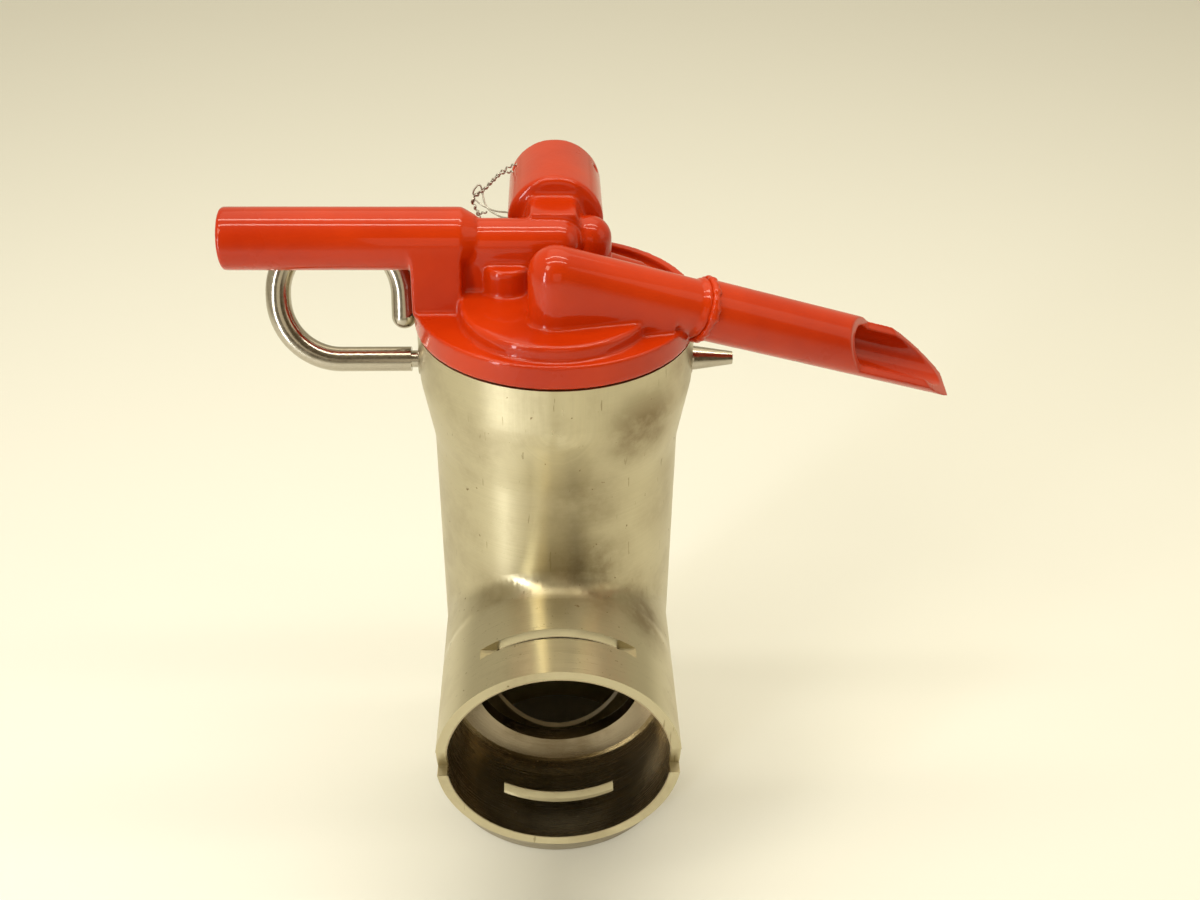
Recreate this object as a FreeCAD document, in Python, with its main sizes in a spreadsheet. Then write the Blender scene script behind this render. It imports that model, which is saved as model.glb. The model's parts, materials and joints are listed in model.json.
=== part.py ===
import FreeCAD, Part

import math
import os
import re

import Sketcher

# Angle-pattern diaphragm valve with a pinned quick-release bonnet.
# Millimetres, +Z up. The origin is the centre of the inlet socket's bottom face, on the barrel's axis.
# The outlet looks along -Y, the grip arm along -X and the drain spout along +X.

Vector = FreeCAD.Vector
Rotation = FreeCAD.Rotation
Placement = FreeCAD.Placement

# ---------------------------------------------------------------- driving dimensions

DIMENSIONS = {
    # barrel
    "barrel_radius": 45.7,
    "bore_radius": 40.5,
    "flare_radius": 30.0,
    "collar_radius": 50.0,
    "neck_height": 183.0,
    "collar_height": 208.0,
    "body_height": 227.7,
    "spigot_bore_radius": 44.3,
    "ledge_height": 188.2,
    "socket_depth": 32.0,
    "web_top": 38.0,
    "web_bore_radius": 33.0,
    "base_radius": 52.0,
    "base_height": 13.0,
    "base_chamfer": 1.0,
    # outlet
    "outlet_height": 96.5,
    "outlet_radius": 44.45,
    "outlet_reach": 91.1,
    "outlet_socket_depth": 38.5,
    "shoulder_reach": 44.0,
    "stop_ring_radius": 39.5,
    "port_radius": 32.0,
    "port_length": 36.0,
    "slot_setback": 19.5,
    "slot_width": 5.0,
    "slot_chord": 34.6,
    "slot_height": 20.0,
    "notch_height": 12.0,
    "notch_depth": 5.0,
    "saddle_fillet": 7.0,
    # seat
    "seat_radius": 28.0,
    "seat_flange_radius": 38.0,
    "seat_steel_top": 42.0,
    "seat_top": 44.0,
    "seal_foot_width": 5.0,
    # plug and stem
    "plug_lift": 35.0,
    "stem_radius": 5.0,
    "plug_radius": 31.0,
    "plug_seal_thickness": 5.0,
    "plug_thickness": 7.0,
    "retainer_radius": 20.0,
    "retainer_thickness": 3.0,
    "nut_flat": 8.5,
    "nut_thickness": 6.0,
    "thread_length": 14.0,
    "edge_bevel": 1.0,
    "seal_groove": 8.0,
    "spider_arm_width": 6.0,
    "spider_hoop_width": 4.0,
    "spider_bottom": 123.0,
    "spider_top": 131.0,
    "hub_radius": 9.5,
    "bush_radius": 7.0,
    "running_gap": 0.05,
    "plate_radius": 29.0,
    "plate_thickness": 4.5,
    "diaphragm_thickness": 2.0,
    "spring_radius": 19.0,
    "spring_wire": 1.3,
    "spring_turns": 5.0,
    # bonnet
    "rim_radius": 50.6,
    "rim_top": 237.3,
    "rim_thickness": 9.0,
    "gasket_thickness": 0.6,
    "gasket_radius": 47.5,
    "spigot_radius": 44.0,
    "chamber_radius": 38.0,
    "chamber_top": 224.0,
    "beam_half_width": 8.5,
    "beam_bottom": 204.0,
    "plateau_radius": 33.4,
    "plateau_height": 5.7,
    "plateau_forward": 14.4,
    "groove_height": 195.0,
    "cord_radius": 1.5,
    "cord_centre": 42.75,
    "groove_gap": 0.05,
    "groove_width": 3.4,
    # left arm
    "arm_height": 259.6,
    "arm_radius": 10.9,
    "arm_reach": 115.0,
    "arm_bore_radius": 7.5,
    "arm_end_round": 0.8,
    "arm_end_wall": 4.0,
    "arm_shoulder_length": 5.0,
    "grip_plug_length": 11.0,
    "block_left": 50.0,
    "block_right": 32.5,
    "block_front": 14.2,
    "ridge_radius": 8.0,
    "ridge_height": 258.6,
    "ridge_end": 1.0,
    "boss_radius": 8.4,
    "boss_left": 17.0,
    "boss_forward": 5.0,
    "casting_round": 1.7,
    "boss_top": 253.0,
    # spout arm
    "spout_root_y": 27.0,
    "spout_root_height": 259.3,
    "spout_yaw": 12.2,
    "spout_pitch": 20.0,
    "spout_root_radius": 9.6,
    "skirt_length": 39.5,
    "skirt_height": 22.0,
    "trim_length": 80.0,
    "trim_width": 60.0,
    "trim_height": 40.0,
    "trim_back": 20.0,
    "bead_cord": 1.7,
    "bead_inset": 0.6,
    "spout_joint": 52.0,
    "spout_sleeve_start": 55.0,
    "spout_radius": 10.7,
    "spout_relief": 0.3,
    "relief_length": 14.0,
    "spout_root_round": 0.7,
    "cutter_span": 160.0,
    "scoop_start": 123.4,
    "scoop_start_roll": 50.0,
    "scoop_start_slope": 38.6,
    "spout_length": 166.5,
    "spout_bore": 7.4,
    "scoop_side_roll": 40.0,
    "scoop_side_depth": 0.75,
    "scoop_end_roll": 20.9,
    "scoop_end_slope": 23.0,
    "scoop_end_middle": 145.5,
    "spigot_end": 74.0,
    "feed_radius": 3.0,
    "feed_right": 8.0,
    "feed_back": 4.0,
    # pilot
    "pilot_height": 258.3,
    "pilot_front": 15.0,
    "pilot_back": 53.6,
    "pilot_radius": 17.3,
    "pilot_bore": 12.0,
    "pilot_seat_y": 24.0,
    "pilot_edge_round": 2.2,
    "pilot_port_radius": 2.5,
    "pilot_port_start": 11.0,
    "pilot_feed_y": 13.0,
    "pilot_seat_base": 3.0,
    "pilot_lip_radius": 5.0,
    "piston_foot": 5.0,
    "piston_nose_radius": 3.5,
    "piston_nose_length": 2.0,
    "piston_length": 5.0,
    "piston_boss_radius": 4.0,
    "adjuster_inset": 9.0,
    "adjuster_thickness": 7.0,
    "adjuster_recess": 1.5,
    "adjuster_socket": 2.0,
    "pilot_spring_radius": 6.5,
    "pilot_spring_wire": 0.8,
    "pilot_spring_turns": 4.0,
    "neck_top": 268.7,
    "neck_top_left": 8.6,
    "neck_top_right": 7.0,
    "neck_foot": 20.0,
    "neck_depth": 17.0,
    "wire_hole_radius": 1.4,
    "wire_hole_y": 47.6,
    "wire_hole_roll": 62.0,
    "recess_margin": 3.4,
    "recess_depth": 3.2,
    "recess_front": 2.0,
    "recess_hub": 18.0,
    "recess_hub_back": 8.0,
    "dome_right": 11.8,
    "dome_back": 5.5,
    "dome_radius": 8.0,
    "rib_radius": 5.0,
    "rib_end_radius": 3.5,
    "rib_length": 21.0,
    "rib_yaw": 24.0,
    "rib_pitch": 112.0,
    "rib_drop": 11.0,
    # locking pin
    "pin_height": 211.6,
    "pin_radius": 4.5,
    "rod_radius": 4.5,
    "pin_shoulder": 52.9,
    "pin_end": 50.5,
    "pin_tip": 65.0,
    "pin_tip_radius": 2.4,
    "pin_lean": 21.0,
    "handle_leg": 100.3,
    "handle_free_leg": 55.2,
    "handle_bend": 22.0,
    "handle_top_centre": 23.5,
    "handle_free_end": 15.7,
    "sleeve_radius": 5.6,
    "pin_groove_radius": 3.1,
    "pin_groove_end": 48.0,
    "snap_ring_start": 49.6,
    "snap_ring_width": 1.2,
    "sleeve_end": 50.2,
    # seal wire
    "wire_radius": 0.6,
}

# Points of the seal wire: right of and behind the barrel's axis, and above the pilot's centre.
SEAL_WIRE_ROUTE = [
    (-12.6, 47.6, 6.7),
    (-21.0, 47.2, 11.0),
    (-28.0, 45.0, 5.0),
    (-30.5, 41.0, -4.0),
    (-26.0, 37.0, -12.0),
    (-19.0, 33.5, -12.5),
    (-17.7, 31.0, -6.5),
]
# The share of the shorter leg that each bend of the seal wire takes.
SEAL_WIRE_BEND = 0.45
SPIDER_ARMS = 3

doc = FreeCAD.newDocument("DiaphragmValve")
sheet = doc.addObject("Spreadsheet::Sheet", "dims")
for row, (alias, value) in enumerate(DIMENSIONS.items(), start=1):
    sheet.set("A%d" % row, alias)
    sheet.set("B%d" % row, str(value))
    sheet.setAlias("B%d" % row, alias)
doc.recompute()

# ---------------------------------------------------------------- helpers

TURNS = {
    "z": Rotation(),
    "x": Rotation(Vector(0, 1, 0), 90),
    "-x": Rotation(Vector(0, 1, 0), -90),
    "y": Rotation(Vector(1, 0, 0), -90),
    "-y": Rotation(Vector(1, 0, 0), 90),
}
kept = []


def linked(text):
    """Write an expression over the driving dimensions as FreeCAD wants it, with the sheet's name."""
    return re.sub(r"[a-z]+(?:_[a-z]+)+", lambda found: "dims." + found.group(0), str(text))


def value_of(text):
    """The number that an expression over the driving dimensions gives now."""
    result = sheet.evalExpression(linked(text))
    return float(getattr(result, "Value", result))


def place(item, at, turn="z"):
    """Turn an object and bind its base point to three expressions."""
    rotation = TURNS[turn] if isinstance(turn, str) else turn
    item.Placement = Placement(Vector(*[value_of(text) for text in at]), rotation)
    for axis, text in zip("xyz", at):
        if isinstance(text, str):
            item.setExpression("Placement.Base." + axis, linked(text))
    return item


def primitive(kind, name, at, turn, **sizes):
    item = doc.addObject("Part::" + kind, name)
    for prop, text in sizes.items():
        item.setExpression(prop, linked(text))
    return place(item, at, turn)


def rod(name, radius, length, at=(0, 0, 0), turn="z"):
    return primitive("Cylinder", name, at, turn, Radius=radius, Height=length)


def taper(name, radius, end_radius, length, at=(0, 0, 0), turn="z"):
    return primitive("Cone", name, at, turn, Radius1=radius, Radius2=end_radius, Height=length)


def ball(name, radius, at=(0, 0, 0)):
    return primitive("Sphere", name, at, "z", Radius=radius)


def block(name, length, width, height, at=(0, 0, 0), turn="z"):
    return primitive("Box", name, at, turn, Length=length, Width=width, Height=height)


def ring_cord(name, radius, cord, at=(0, 0, 0), turn="z", sweep=360):
    return primitive("Torus", name, at, turn, Radius1=radius, Radius2=cord, Angle3=sweep)


def fuse(name, *parts):
    item = doc.addObject("Part::MultiFuse", name)
    item.Shapes = list(parts)
    item.Refine = True
    return item


def cut(name, base, *tools):
    item = doc.addObject("Part::Cut", name)
    item.Base = base
    item.Tool = tools[0] if len(tools) == 1 else fuse(name + "_tools", *tools)
    item.Refine = True
    return item


def tube(name, outer, inner, length, at=(0, 0, 0), turn="z"):
    return cut(name, rod(name + "_outside", outer, length, at, turn),
               rod(name + "_hole", inner, length, at, turn))


def soften(name, base, radius, wanted):
    """Round the edges of an object that the test picks out."""
    doc.recompute()
    item = doc.addObject("Part::Fillet", name)
    item.Base = base
    picked = [index for index, edge in enumerate(base.Shape.Edges, start=1) if wanted(edge)]
    if not picked:
        raise RuntimeError("no edge to round on " + name)
    item.Edges = [(index, value_of(radius), value_of(radius)) for index in picked]
    return item


def plane_of(body, role):
    return [item for item in body.Origin.OriginFeatures if item.Role == role][0]


def turned(name, outline, at=(0, 0, 0), turn="z"):
    """A body turned about its own Z from an outline of (radius, height) expressions,
    both never negative."""
    body = doc.addObject("PartDesign::Body", name)
    sketch = body.newObject("Sketcher::SketchObject", name + "_outline")
    sketch.AttachmentSupport = [(plane_of(body, "XZ_Plane"), "")]
    sketch.MapMode = "FlatFace"
    corners = [Vector(value_of(radius), value_of(height), 0) for radius, height in outline]
    for start, end in zip(corners, corners[1:] + corners[:1]):
        sketch.addGeometry(Part.LineSegment(start, end), False)
    for index in range(len(corners)):
        following = (index + 1) % len(corners)
        sketch.addConstraint(Sketcher.Constraint("Coincident", index, 2, following, 1))
    for index, pair in enumerate(outline):
        for kind, text in zip(("DistanceX", "DistanceY"), pair):
            if value_of(text) == 0:
                axis = -2 if kind == "DistanceX" else -1
                sketch.addConstraint(Sketcher.Constraint("PointOnObject", index, 1, axis))
                continue
            number = sketch.addConstraint(Sketcher.Constraint(kind, -1, 1, index, 1, value_of(text)))
            sketch.setExpression("Constraints[%d]" % number, linked(text))
    spin = body.newObject("PartDesign::Revolution", name + "_turned")
    spin.Profile = sketch
    spin.ReferenceAxis = (sketch, ["V_Axis"])
    spin.Angle = 360
    body.Tip = spin
    return place(body, at, turn)


def wedge(name, foot, head, across, low, high, axis):
    """A block whose head, at the top, is narrower than its foot.

    Foot and head are (low, high) along the axis that narrows, across is (low, high) along the other one.
    """
    item = doc.addObject("Part::Wedge", name)
    if axis == "x":
        sizes = {"Xmin": foot[0], "Xmax": foot[1], "X2min": head[0], "X2max": head[1],
                 "Zmin": "-(%s)" % across[1], "Zmax": "-(%s)" % across[0],
                 "Z2min": "-(%s)" % across[1], "Z2max": "-(%s)" % across[0]}
    else:
        sizes = {"Zmin": "-(%s)" % foot[1], "Zmax": "-(%s)" % foot[0],
                 "Z2min": "-(%s)" % head[1], "Z2max": "-(%s)" % head[0],
                 "Xmin": across[0], "Xmax": across[1], "X2min": across[0], "X2max": across[1]}
    for prop, text in dict(sizes, Ymin=low, Ymax=high).items():
        setattr(item, prop, value_of(text))
        item.setExpression(prop, linked(text))
    item.Placement = Placement(Vector(), Rotation(Vector(1, 0, 0), 90))
    return item


def prism(name, sides, flat, length, at=(0, 0, 0), turn="z"):
    """A regular prism such as a nut blank, given its radius to the flats."""
    item = doc.addObject("Part::Prism", name)
    item.Polygon = sides
    item.setExpression("Circumradius", linked("(%s) / cos(180 / %d)" % (flat, sides)))
    item.setExpression("Height", linked(length))
    return place(item, at, turn)


def keep(item, label):
    item.Label = label
    kept.append(item)
    return item


# ---------------------------------------------------------------- barrel casting

def make_valve_body():
    outside = turned("barrel", [
        (0, 0), ("barrel_radius", 0), ("barrel_radius", "neck_height"), ("collar_radius", "collar_height"),
        ("collar_radius", "body_height"), (0, "body_height")])
    doc.recompute()
    spin = outside.Tip
    corners = [value_of("neck_height"), value_of("collar_height")]
    edges = []
    for index, edge in enumerate(spin.Shape.Edges, start=1):
        middle = edge.BoundBox.Center.z
        if edge.BoundBox.ZLength < 1 and min(abs(middle - height) for height in corners) < 0.5:
            edges.append("Edge%d" % index)
    flare = outside.newObject("PartDesign::Fillet", "barrel_flare")
    flare.Base = (spin, edges)
    flare.Radius = value_of("flare_radius")
    outside.Tip = flare
    outlet = rod("outlet_tube", "outlet_radius", "outlet_reach", (0, 0, "outlet_height"), "-y")
    joined = fuse("body_outside", outside, outlet)
    joined = soften("body_saddle", joined, "saddle_fillet",
                    lambda edge: edge.Curve.TypeId not in ("Part::GeomLine", "Part::GeomCircle")
                    and edge.BoundBox.YMin < -20 and edge.BoundBox.YMax < 0)
    tools = [
        rod("bore", "bore_radius", "ledge_height - web_top", (0, 0, "web_top")),
        rod("spigot_bore", "spigot_bore_radius", "body_height - ledge_height + 1", (0, 0, "ledge_height")),
        rod("inlet_socket", "bore_radius", "socket_depth + 1", (0, 0, -1)),
        rod("web_bore", "web_bore_radius", "web_top - socket_depth + 2", (0, 0, "socket_depth - 1")),
        rod("outlet_socket", "bore_radius", "outlet_socket_depth + 1",
            (0, "-outlet_reach - 1", "outlet_height"), "y"),
        rod("stop_ring_seat", "stop_ring_radius", "outlet_reach - shoulder_reach + 1",
            (0, "-outlet_reach - 1", "outlet_height"), "y"),
        rod("outlet_port", "port_radius", "port_length", (0, "-shoulder_reach - 1", "outlet_height"), "y"),
        rod("pin_cross_bore", "sleeve_radius", "collar_radius * 2 + 10",
            ("-collar_radius - 5", 0, "pin_height"), "x"),
        block("notch", "outlet_radius * 2 + 10", "notch_depth + 1", "notch_height",
              ("-outlet_radius - 5", "-outlet_reach - 1", "outlet_height - notch_height / 2")),
    ]
    for side, sign in (("upper", 1), ("lower", -1)):
        floor = "outlet_height + slot_chord" if sign > 0 else "outlet_height - slot_chord - slot_height"
        tools.append(block(side + "_clip_slot", "outlet_radius * 2", "slot_width", "slot_height",
                           ("-outlet_radius", "slot_setback - slot_width / 2 - outlet_reach", floor)))
    keep(cut("body_machined", joined, *tools), "valve_body")


def make_rings():
    keep(turned("base_ring", [
        ("barrel_radius", 0), ("base_radius - base_chamfer / 3", 0), ("base_radius", "base_chamfer / 3"),
        ("base_radius", "base_height - base_chamfer"), ("base_radius - base_chamfer", "base_height"),
        ("barrel_radius", "base_height + 3")]), "inlet_base_ring")
    keep(turned("stop_ring", [
        ("port_radius", 0), ("stop_ring_radius", 0),
        ("stop_ring_radius", "outlet_reach - outlet_socket_depth - shoulder_reach"),
        ("port_radius", "outlet_reach - outlet_socket_depth - shoulder_reach - 3")],
        (0, "-shoulder_reach", "outlet_height"), "-y"), "outlet_stop_ring")
    keep(turned("seat", [
        ("seat_radius", "socket_depth"), ("web_bore_radius", "socket_depth"),
        ("web_bore_radius", "web_top"),
        ("seat_flange_radius", "web_top"), ("seat_flange_radius", "seat_steel_top - edge_bevel"),
        ("seat_flange_radius - edge_bevel", "seat_steel_top"),
        ("seat_radius", "seat_steel_top")]), "seat_ring")
    keep(turned("seat_lip", [
        ("seat_radius", "seat_steel_top"), ("seat_radius + seal_foot_width", "seat_steel_top"),
        ("seat_radius + seal_foot_width - edge_bevel", "seat_top"),
        ("seat_radius + edge_bevel", "seat_top"), ("seat_radius", "seat_top - edge_bevel")]), "seat_seal")


# ---------------------------------------------------------------- bonnet casting

def spout_point(distance):
    """A point on the spout's axis, as three expressions."""
    across = "(%s) * cos(spout_pitch) * " % distance
    return (across + "cos(spout_yaw)", across + "sin(spout_yaw) - spout_root_y",
            "spout_root_height - (%s) * sin(spout_pitch)" % distance)


def spout_turn():
    yaw = Rotation(Vector(0, 0, 1), value_of("spout_yaw"))
    return yaw.multiply(Rotation(Vector(0, 1, 0), 90 + value_of("spout_pitch")))


def half_space(name, roll, slope, distance, depth):
    """A slab over everything on the open side of a plane across the spout.

    The roll turns the open side from straight up to the front, and the slope tips it towards the tip.
    """
    span = value_of("cutter_span")
    turn = spout_turn()
    roll_angle = math.radians(value_of(roll))
    slope_angle = math.radians(value_of(slope))
    open_side = Vector(-math.cos(roll_angle), -math.sin(roll_angle), 0)
    normal = turn.multVec(open_side * math.cos(slope_angle) + Vector(0, 0, math.sin(slope_angle)))
    lean = Rotation(Vector(0, 0, 1), normal)
    foot = Vector(*[value_of(text) for text in spout_point(distance)])
    foot += turn.multVec(open_side * value_of(depth))
    slab = block(name, span, span, span / 2)
    slab.Placement = Placement(foot - lean.multVec(Vector(span / 2, span / 2, 0)), lean)
    return slab


def make_bonnet():
    rim_under = "rim_top - rim_thickness"
    rim = rod("rim", "rim_radius", "rim_thickness", (0, 0, rim_under))
    plateau = rod("plateau", "plateau_radius", "plateau_height + 1", (0, "-plateau_forward", "rim_top - 1"))
    plateau = soften("plateau_edge", plateau, "casting_round",
                     lambda edge: edge.BoundBox.ZMin > value_of("rim_top + 2")
                     and edge.Curve.TypeId == "Part::GeomCircle")
    spigot_bottom = "ledge_height + diaphragm_thickness"
    spigot = rod("spigot", "spigot_radius", "%s - (%s) + 1" % (rim_under, spigot_bottom),
                 (0, 0, spigot_bottom))
    arm = rod("arm", "arm_radius", "arm_reach - block_right", ("-block_right", 0, "arm_height"), "-x")
    arm = soften("arm_end", arm, "arm_end_round", lambda edge: edge.Curve.TypeId == "Part::GeomCircle"
                 and edge.BoundBox.XMax < value_of("5 - arm_reach"))
    arm_block = wedge("arm_block", ("-block_front", "arm_radius"), ("-arm_radius", "arm_radius"),
                      ("-block_left", "-block_right"), "rim_top - 1", "arm_height", "y")
    arm_block_head = rod("arm_block_head", "arm_radius", "block_left - block_right",
                         ("-block_right", 0, "arm_height"), "-x")
    shoulder = taper("arm_shoulder", "arm_radius", "ridge_radius", "arm_shoulder_length",
                     ("-block_right", 0, "arm_height"), "x")
    ridge = rod("ridge", "ridge_radius", "block_right + ridge_end",
                ("-block_right", 0, "ridge_height"), "x")
    ridge_ball = ball("ridge_ball", "ridge_radius", ("ridge_end", 0, "ridge_height"))
    ridge_wall = block("ridge_wall", "block_right + ridge_end", "ridge_radius * 2",
                       "ridge_height - rim_top + 1", ("-block_right", "-ridge_radius", "rim_top - 1"))
    boss = rod("boss", "boss_radius", "boss_top - rim_top + 1",
               ("-boss_left", "-boss_forward", "rim_top - 1"))
    boss = soften("boss_edge", boss, "casting_round",
                  lambda edge: edge.BoundBox.ZMin > value_of("boss_top - 0.5")
                  and edge.Curve.TypeId == "Part::GeomCircle")
    spout_post = rod("spout_post", "spout_root_radius", "spout_root_height - rim_top + 1",
                     (0, "-spout_root_y", "rim_top - 1"))
    spout_ball = ball("spout_ball", "spout_root_radius", spout_point(0))
    spout_arm = rod("spout_arm", "spout_root_radius", "spout_sleeve_start", spout_point(0), spout_turn())
    spout_spigot = rod("spout_spigot", "spout_bore + 1", "spigot_end - spout_sleeve_start + 1",
                       spout_point("spout_sleeve_start - 1"), spout_turn())
    spout_bead = ring_cord("spout_bead", "spout_root_radius - bead_inset", "bead_cord",
                           spout_point("spout_joint + 1"), spout_turn())
    skirt = block("spout_skirt", "skirt_length", "spout_root_radius * 2", "skirt_height",
                  ("spout_root_radius * sin(spout_yaw)",
                   "-spout_root_y - spout_root_radius * cos(spout_yaw)", "rim_top - 1"),
                  Rotation(Vector(0, 0, 1), value_of("spout_yaw")))
    trim_shifts = (" + trim_width / 2 * sin(spout_yaw)", " - trim_width / 2 * cos(spout_yaw)", "")
    trim_corner = [text + shift for text, shift in zip(spout_point("-trim_back"), trim_shifts)]
    skirt_trim = block("spout_skirt_trim", "trim_length", "trim_width", "trim_height", trim_corner,
                       spout_turn().multiply(Rotation(Vector(0, 1, 0), -90)))
    skirt = cut("spout_skirt_trimmed", skirt, skirt_trim)
    pilot = rod("pilot_housing", "pilot_radius", "pilot_back - pilot_front",
                (0, "pilot_front", "pilot_height"), "y")
    pilot = soften("pilot_front_edge", pilot, "pilot_edge_round",
                   lambda edge: edge.Curve.TypeId == "Part::GeomCircle"
                   and edge.BoundBox.YMax < value_of("pilot_front + 1"))
    neck = wedge("pilot_neck", ("-neck_foot", "neck_foot"), ("-neck_top_left", "neck_top_right"),
                 ("0", "neck_depth"), "rim_top - 1", "neck_top", "x")
    dome_post = rod("dome_post", "dome_radius", "pilot_height - rim_top - 1",
                    ("dome_right", "dome_back", "rim_top"))
    dome = ball("dome", "dome_radius", ("dome_right", "dome_back", "pilot_height - 1"))
    rib_turn = Rotation(Vector(0, 0, 1), value_of("rib_yaw"))
    rib_turn = rib_turn.multiply(Rotation(Vector(0, 1, 0), value_of("rib_pitch")))
    rib = taper("dome_rib", "rib_radius", "rib_end_radius", "rib_length",
                ("dome_right + 2", "dome_back + 1.5", "pilot_height - rib_drop"), rib_turn)
    solid = fuse("bonnet_outside", rim, plateau, spigot, arm, arm_block, arm_block_head, shoulder, ridge,
                 ridge_ball, ridge_wall, boss, spout_post, spout_ball, spout_arm, spout_spigot, spout_bead,
                 skirt, pilot, neck, dome_post, dome, rib)
    chamber = rod("chamber", "chamber_radius", "chamber_top - (%s)" % spigot_bottom, (0, 0, spigot_bottom))
    beam = block("pin_beam", "chamber_radius * 2 + 2", "beam_half_width * 2",
                 "chamber_top - beam_bottom + 2",
                 ("-chamber_radius - 1", "-beam_half_width", "beam_bottom"))
    recess_floor = "rim_top - recess_depth"
    recess = cut("rear_recess",
                 rod("rear_recess_disc", "rim_radius - recess_margin", "recess_depth",
                     (0, 0, recess_floor)),
                 block("rear_recess_limit", "rim_radius * 2", "rim_radius + recess_front",
                       "recess_depth + 2", ("-rim_radius", "-rim_radius", recess_floor + " - 1")),
                 rod("rear_recess_hub", "recess_hub", "recess_depth + 2",
                     (0, "recess_hub_back", recess_floor + " - 1")))
    tools = [
        cut("chamber_space", chamber, beam),
        recess,
        rod("bonnet_pin_bore", "pin_radius + running_gap * 2", "spigot_radius * 2 + 10",
            ("-spigot_radius - 5", 0, "pin_height"), "x"),
        tube("bonnet_groove", "spigot_radius + 1", "cord_centre - cord_radius - groove_gap", "groove_width",
             (0, 0, "groove_height - groove_width / 2")),
        tube("rim_relief", "spout_radius + spout_relief", "spout_bore + 1", "relief_length",
             spout_point("spout_sleeve_start"), spout_turn()),
        rod("arm_bore", "arm_bore_radius", "arm_reach - block_left - arm_end_wall",
            ("-arm_reach - 1", 0, "arm_height"), "x"),
        rod("spout_passage", "spout_bore - 1", "spigot_end - feed_right + 1",
            spout_point("feed_right"), spout_turn()),
        rod("spout_feed", "feed_radius", "spout_root_height - chamber_top + 2",
            ("feed_right", "feed_back - spout_root_y", "chamber_top - 4")),
        rod("pilot_bore_space", "pilot_bore", "pilot_back - pilot_seat_y + 1",
            (0, "pilot_seat_y", "pilot_height"), "y"),
        rod("pilot_port", "feed_radius", "pilot_seat_y - pilot_port_start + 1",
            (0, "pilot_port_start", "pilot_height"), "y"),
        rod("pilot_feed", "pilot_port_radius", "pilot_height - chamber_top + 4",
            (0, "pilot_feed_y", "chamber_top - 4")),
        rod("wire_hole", "wire_hole_radius", "pilot_radius + 4", (0, "wire_hole_y", "pilot_height"),
            Rotation(Vector(0, 1, 0), -value_of("wire_hole_roll"))),
        rod("vent_hole", "wire_hole_radius", "pilot_radius + 4", (0, "wire_hole_y", "pilot_height"),
            Rotation(Vector(0, 1, 0), value_of("wire_hole_roll"))),
    ]
    keep(cut("bonnet_machined", solid, *tools), "bonnet")


def make_bonnet_fittings():
    keep(tube("gasket", "gasket_radius", "spigot_bore_radius", "gasket_thickness", (0, 0, "body_height")),
         "bonnet_gasket")
    keep(ring_cord("spigot_cord", "cord_centre", "cord_radius", (0, 0, "groove_height")), "spigot_o_ring")
    keep(turned("grip_end", [
        (0, 0), ("arm_bore_radius", 0), ("arm_bore_radius", "grip_plug_length - edge_bevel"),
        ("arm_bore_radius - edge_bevel", "grip_plug_length"), (0, "grip_plug_length")],
        ("-arm_reach", 0, "arm_height"), "x"), "grip_plug")
    spout = rod("spout_outside", "spout_radius", "spout_length - spout_sleeve_start",
                spout_point("spout_sleeve_start"), spout_turn())
    spout = soften("spout_root_edge", spout, "spout_root_round",
                   lambda edge: edge.Curve.TypeId == "Part::GeomCircle"
                   and edge.BoundBox.XMax < value_of("spout_length / 2"))
    # The mouth is milled open along its front and upper side, with a sloped start, and cut back to the tip.
    side = half_space("scoop_side", "scoop_side_roll", 0, "scoop_start", "scoop_side_depth")
    end = half_space("scoop_end", "scoop_end_roll", "scoop_end_slope", "scoop_end_middle", 0)
    start = half_space("scoop_start", "scoop_start_roll", "scoop_start_slope", "scoop_start", 0)
    scoop = doc.addObject("Part::Common", "scoop_cut")
    scoop.Base = fuse("scoop_planes", side, end)
    scoop.Tool = start
    bore = rod("spout_bore_front", "spout_bore", "spout_length - spigot_end + 1",
               spout_point("spigot_end"), spout_turn())
    socket = rod("spout_socket", "spout_bore + 1 + running_gap", "spigot_end - spout_sleeve_start + 1",
                 spout_point("spout_sleeve_start - 1"), spout_turn())
    keep(cut("spout_cut", spout, bore, socket, scoop), "drain_spout")


# ---------------------------------------------------------------- pilot

def make_pilot():
    nose_top = "piston_foot + piston_nose_length"
    piston_top = "piston_foot + piston_length"
    keep(turned("pilot_seat_body", [
        ("pilot_port_radius", 0), ("pilot_bore", 0), ("pilot_bore", "pilot_seat_base"),
        ("pilot_lip_radius", "pilot_seat_base"), ("pilot_lip_radius - edge_bevel", "piston_foot"),
        ("pilot_port_radius", "piston_foot")], (0, "pilot_seat_y", "pilot_height"), "y"), "pilot_seat")
    keep(turned("pilot_piston_body", [
        (0, "piston_foot"), ("piston_nose_radius", "piston_foot"), ("piston_nose_radius", nose_top),
        ("pilot_bore - running_gap", nose_top), ("pilot_bore - running_gap", piston_top),
        ("piston_boss_radius", piston_top), ("piston_boss_radius", piston_top + " + piston_nose_length"),
        (0, piston_top + " + piston_nose_length")],
        (0, "pilot_seat_y", "pilot_height"), "y"), "pilot_piston")
    socket_floor = "adjuster_thickness - adjuster_socket"
    keep(turned("pilot_adjuster_body", [
        (0, "adjuster_recess"), ("piston_boss_radius", "adjuster_recess"), ("piston_boss_radius", 0),
        ("pilot_bore", 0), ("pilot_bore", "adjuster_thickness"),
        ("pilot_port_radius", "adjuster_thickness"), ("pilot_port_radius", socket_floor),
        (0, socket_floor)], (0, "pilot_back - adjuster_inset", "pilot_height"), "y"), "pilot_adjuster")
    spring_box("pilot_spring", "pilot_spring_radius", "pilot_spring_wire", "pilot_spring_turns",
               "pilot_back - adjuster_inset - pilot_seat_y - (%s)" % piston_top,
               (0, "pilot_seat_y + " + piston_top, "pilot_height"), TURNS["y"])


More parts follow.
